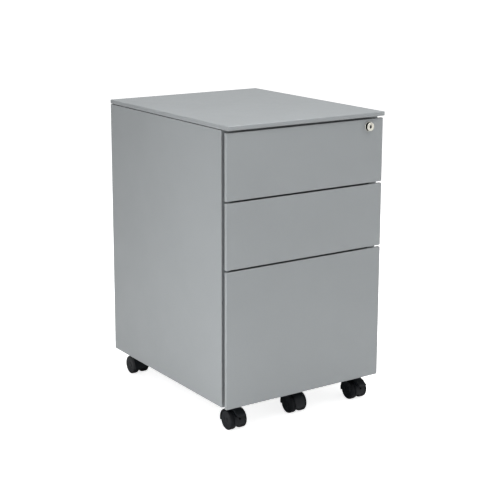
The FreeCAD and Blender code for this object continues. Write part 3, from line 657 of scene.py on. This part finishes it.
def make_wheels(castor):
    """A castor's two wheels as one piece, and the steel axle between them."""
    node = castor + "_castor_wheels"
    centre = Vector(JOINTS[castor + "_castor_roll"]["pos_m"])
    body = BODY_OF[node]
    bm = bmesh.new()
    for side in (-1, 1):
        wheel_mesh(bm, centre, side)
    bmesh.ops.recalc_face_normals(bm, faces=bm.faces)
    pair = new_piece(castor + "_wheels", bm, [HUB_NYLON, TREAD], body, [node])
    smooth_by_angle(pair.data, 40.0)
    bm = bmesh.new()
    half = WHEEL_INNER + AXLE_IN_WHEEL
    lathe(bm, [(-half, 0.0), (-half, AXLE_RADIUS), (half, AXLE_RADIUS), (half, 0.0)], centre, (1, 0, 0), 48)
    bmesh.ops.recalc_face_normals(bm, faces=bm.faces)
    axle = new_piece(castor + "_axle", bm, ZINC, body)
    smooth_by_angle(axle.data, 40.0)


def add_hood_hole(castor, hood):
    """Blind hole in the shield, a little above the axle."""
    centre = Vector(JOINTS[castor + "_castor_roll"]["pos_m"]) + HOOD_HOLE_FROM_AXLE
    hole = bmesh.new()
    profile = [(ahead * MM, radius * MM) for ahead, radius in HOOD_HOLE]
    lathe(hole, profile, centre, (0, -1, 0), 40)
    bmesh.ops.recalc_face_normals(hole, faces=hole.faces)
    hood.modifiers.clear()
    cut_with(hood, hole)
    smooth_by_angle(hood.data, 35.0)
    round_edges(hood, HOOD_EDGE, 3)


def add_pedal_ribs(castor):
    """Grip ribs across the toe of the brake pedal."""
    centre = Vector(JOINTS[castor + "_castor_roll"]["pos_m"])
    bm = bmesh.new()
    profile = [(-RIB_HALF, 0.0), (-RIB_HALF, RIB_RADIUS), (RIB_HALF, RIB_RADIUS), (RIB_HALF, 0.0)]
    for forward, above in PEDAL_RIBS:
        lathe(bm, profile, centre + Vector((0, -forward * MM, above * MM)), (1, 0, 0), 16)
    bmesh.ops.recalc_face_normals(bm, faces=bm.faces)
    ribs = new_piece(castor + "_pedal_ribs", bm, NYLON, BODY_OF[castor + "_brake_pedal"])
    smooth_by_angle(ribs.data, 50.0)


def make_castors():
    for castor in CASTORS:
        make_wheels(castor)
        hood = refined(castor + "_castor_hood", NYLON, HOOD_EDGE, 3)
        if castor in BRAKED:
            add_hood_hole(castor, hood)
    for castor in BRAKED:
        refined(castor + "_brake_pedal", NYLON, SOFT_EDGE, 3)
        add_pedal_ribs(castor)


# ---------------------------------------------------------------- small fixings
SEAT = 0.2 * MM
# outlines of heads, in parts of their height and radius
SCREW_DOME = ((0.15, 1.0), (0.5, 0.93), (0.82, 0.72), (0.97, 0.4), (1.0, 0.0))
RIVET_DOME = ((0.2, 1.0), (0.65, 0.85), (0.95, 0.5), (1.0, 0.22), (0.6, 0.16), (0.6, 0.0))
RECESS_ARM = 0.62
RECESS_HALF_WIDTH = 0.13
PLATE_UNDERSIDE = 54.5 * MM
PLATE_SCREW_OUT = 14.0 * MM
BACK_SCREW_X = 182.0 * MM
BACK_SCREW_Z = [(84.0 + 125.0 * step) * MM for step in range(5)]
BOX_SLIDE_WEB = (157.0 + 1.2) * MM
UPRIGHT_SLIDE_WEB = (169.7 - 1.2) * MM
BOX_RIVET_Y = (-182.0 * MM, -90.0 * MM, 30.0 * MM, 180.0 * MM)
UPRIGHT_RIVET_Y = (-184.0 * MM, 162.0 * MM)
BALL_RADIUS = 1.45 * MM
BALL_X = 164.0 * MM
BALL_ABOVE_MIDDLE = 19.8 * MM
BALL_Y = [(-41.0 + 12.0 * step) * MM for step in range(10)]


def domed_head(name, outline, radius, height, steps):
    """A fixing's head, its seat at the origin, pointing along +Z."""
    bm = bmesh.new()
    profile = [(-SEAT, 0.0), (-SEAT, radius)]
    profile += [(along * height, across * radius) for along, across in outline]
    lathe(bm, profile, (0, 0, 0), (0, 0, 1), steps)
    bmesh.ops.recalc_face_normals(bm, faces=bm.faces)
    data = bpy.data.meshes.new(name)
    bm.to_mesh(data)
    bm.free()
    return data


def cross_screw_mesh(radius, height):
    """Low domed screw head with a cross recess."""
    head = bpy.data.objects.new("screw_head", domed_head("screw_head", SCREW_DOME, radius, height, 28))
    bpy.context.scene.collection.objects.link(head)
    arm = RECESS_ARM * radius
    thin = RECESS_HALF_WIDTH * radius
    for first, second in ((arm, thin), (thin, arm)):
        cutter = bmesh.new()
        box_verts(cutter, (-first, -second, 0.25 * height), (first, second, 2 * height))
        cut_with(head, cutter)
    data = head.data
    bpy.data.objects.remove(head)
    smooth_by_angle(data, 40.0)
    return data


def rivet_mesh(radius, height):
    """Domed rivet head with the small hollow of a drawn pin."""
    data = domed_head("rivet", RIVET_DOME, radius, height, 20)
    smooth_by_angle(data, 40.0)
    return data


def fixings(name, source, places, axis, material, body, turn=0.0):
    """Copies of one small fixing at several places, all facing the same way, as one piece."""
    bm = bmesh.new()
    facing = Vector(axis).to_track_quat("Z", "Y").to_matrix().to_4x4()
    for number, place in enumerate(places):
        spin = Matrix.Rotation(turn + 0.7 * number, 4, "Z")
        copy = source.copy()
        copy.transform(Matrix.Translation(place) @ facing @ spin)
        bm.from_mesh(copy)
        bpy.data.meshes.remove(copy)
    return new_piece(name, bm, material, body)


def make_plate_screws():
    """Four screws under each castor's plate."""
    head = cross_screw_mesh(3.6 * MM, 1.8 * MM)
    for castor in CASTORS:
        swivel = Vector(JOINTS[castor + "_castor_swivel"]["pos_m"])
        places = [
            (swivel.x + dx, swivel.y + dy, PLATE_UNDERSIDE)
            for dx in (-PLATE_SCREW_OUT, PLATE_SCREW_OUT)
            for dy in (-PLATE_SCREW_OUT, PLATE_SCREW_OUT)
        ]
        body = "file_drawer" if castor == "middle" else "carcass"
        fixings(castor + "_plate_screws", head, places, (0, 0, -1), ZINC, body, 0.4)


def make_back_screws():
    """A column of screws down each edge of the back."""
    head = cross_screw_mesh(3.2 * MM, 0.9 * MM)
    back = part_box("left_side_panel")[1][1]
    places = [(x, back, z) for x in (-BACK_SCREW_X, BACK_SCREW_X) for z in BACK_SCREW_Z]
    fixings("back_screws", head, places, (0, 1, 0), ZINC, "carcass", 0.2)


def make_slide_rivets():
    """Rivets along the webs of the slide members, fixing them to the box and to the uprights."""
    rivet = rivet_mesh(2.6 * MM, 0.6 * MM)
    for drawer in DRAWERS:
        body = BODY_OF[drawer + "_box"]
        for side, sign in (("left", -1), ("right", 1)):
            low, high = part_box(f"{drawer}_{side}_drawer_slide")
            middle = (low[2] + high[2]) / 2
            places = [(sign * BOX_SLIDE_WEB, y, middle) for y in BOX_RIVET_Y]
            fixings(f"{drawer}_{side}_box_rivets", rivet, places, (sign, 0, 0), ZINC, body)
            places = [(sign * UPRIGHT_SLIDE_WEB, y, middle) for y in UPRIGHT_RIVET_Y]
            fixings(f"{drawer}_{side}_upright_rivets", rivet, places, (-sign, 0, 0), ZINC, "carcass")


def make_balls():
    """Bearing balls sitting in the retainers of the middle members."""
    ball = bmesh.new()
    bmesh.ops.create_uvsphere(ball, u_segments=14, v_segments=9, radius=BALL_RADIUS)
    data = bpy.data.meshes.new("ball")
    ball.to_mesh(data)
    ball.free()
    for polygon in data.polygons:
        polygon.use_smooth = True
    for drawer in DRAWERS:
        for side, sign in (("left", -1), ("right", 1)):
            node = f"{drawer}_{side}_middle_slide"
            low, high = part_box(node)
            middle = (low[2] + high[2]) / 2
            places = [
                (sign * BALL_X, y, middle + end * BALL_ABOVE_MIDDLE)
                for y in BALL_Y
                for end in (-1, 1)
            ]
            fixings(f"{drawer}_{side}_balls", data, places, (0, 0, 1), NICKEL_BALL, BODY_OF[node])


# ---------------------------------------------------------------- studio
FLOOR_HALF = 40.0
BOUNCE_DROP = 0.5 * MM
DOME_RADIUS = 39.0
# name: place, aim, size and power; all lights are soft rectangles
LIGHTS = {
    "overhead": ((0.0, -0.2, 2.6), (0.0, 0.0, 0.3), (2.4, 2.4), 58.67),
    "front": ((0.7, -3.0, 1.3), (0.0, -0.2, 0.3), (1.6, 1.6), 3.61),
    "front_near": ((0.08, -0.85, 0.8), (0.06, -0.23, 0.52), (0.4, 0.25), 0.7),
    "side_left_in": ((-0.85, -0.27, 0.38), (-0.19, -0.15, 0.28), (0.3, 0.7), 1.16),
    "side_top": ((-0.8, -0.3, 0.66), (-0.19, -0.17, 0.5), (0.25, 0.25), 0.8),
    "side_left_low": ((-0.8, -0.26, 0.12), (-0.19, -0.1, 0.1), (0.4, 0.2), 0.61),
    "right": ((2.5, -1.3, 1.2), (0.1, -0.2, 0.35), (1.2, 1.6), 8.48),
}
WORLD_LEVEL = 0.378
EYE = (-1.4562, -2.1732, 0.9691)
LOOK = (0.5490, 0.8095, -0.2082)
ROLL_DEGREES = 0.18
SENSOR_MM = 36.0
LENS_MM = 90.68
SHIFT_UP = -0.1


def stage_piece(name, bm, material, seen_by_camera):
    """A piece of the studio, seen either by the camera alone or by everything but the camera."""
    data = bpy.data.meshes.new(name)
    bm.to_mesh(data)
    bm.free()
    data.materials.append(material)
    piece = bpy.data.objects.new(name, data)
    bpy.context.scene.collection.objects.link(piece)
    piece.visible_camera = seen_by_camera
    piece.visible_diffuse = not seen_by_camera
    piece.visible_glossy = not seen_by_camera
    piece.visible_shadow = not seen_by_camera
    piece.visible_transmission = not seen_by_camera
    return piece


def make_floor():
    """A bright floor and backdrop for the camera, and a plain floor that light bounces off."""
    bm = bmesh.new()
    bmesh.ops.create_grid(bm, x_segments=8, y_segments=8, size=FLOOR_HALF)
    stage_piece("studio_floor", bm, matt_floor("floor_paint", SEEN_GLOW), True)
    bm = bmesh.new()
    bmesh.ops.create_grid(bm, x_segments=8, y_segments=8, size=FLOOR_HALF)
    bmesh.ops.translate(bm, vec=(0, 0, -BOUNCE_DROP), verts=bm.verts)
    stage_piece("studio_floor_bounce", bm, matt_floor("floor_paint_bounce", FLOOR_GLOW), False)
    bm = bmesh.new()
    bmesh.ops.create_uvsphere(bm, u_segments=48, v_segments=24, radius=DOME_RADIUS)
    stage_piece("studio_backdrop", bm, matt_floor("backdrop_paint", 1.0), True)


def area_light(name, place, target, size, power):
    light = bpy.data.lights.new(name, "AREA")
    light.shape = "RECTANGLE"
    light.size, light.size_y = size
    light.energy = power
    lamp = bpy.data.objects.new(name, light)
    lamp.location = place
    lamp.visible_camera = False
    lamp.rotation_euler = (Vector(target) - Vector(place)).to_track_quat("-Z", "Y").to_euler()
    bpy.context.scene.collection.objects.link(lamp)
    return lamp


def make_light():
    world = bpy.data.worlds.new("studio")
    bpy.context.scene.world = world
    world.use_nodes = True
    background = world.node_tree.nodes["Background"]
    background.inputs["Color"].default_value = (1.0, 1.0, 1.0, 1.0)
    background.inputs["Strength"].default_value = WORLD_LEVEL
    for name, (place, target, size, power) in LIGHTS.items():
        area_light(name, place, target, size, power)


def make_camera():
    camera = bpy.data.cameras.new("camera")
    camera.sensor_width = SENSOR_MM
    camera.lens = LENS_MM
    camera.shift_y = SHIFT_UP
    camera.clip_end = 200.0
    eye = bpy.data.objects.new("camera", camera)
    eye.location = EYE
    aimed = Vector(LOOK).to_track_quat("-Z", "Y").to_matrix()
    rolled = Matrix.Rotation(math.radians(ROLL_DEGREES), 3, "Z")
    eye.rotation_euler = (aimed @ rolled).to_euler()
    bpy.context.scene.collection.objects.link(eye)
    bpy.context.scene.camera = eye


make_camera()
make_light()
make_floor()
make_top()
for each_drawer in DRAWERS:
    make_drawer_face(each_drawer)
make_sheet_parts()
make_lock()
make_castors()
make_plate_screws()
make_back_screws()
make_slide_rivets()
make_balls()

bpy.context.scene.view_settings.view_transform = "Standard"
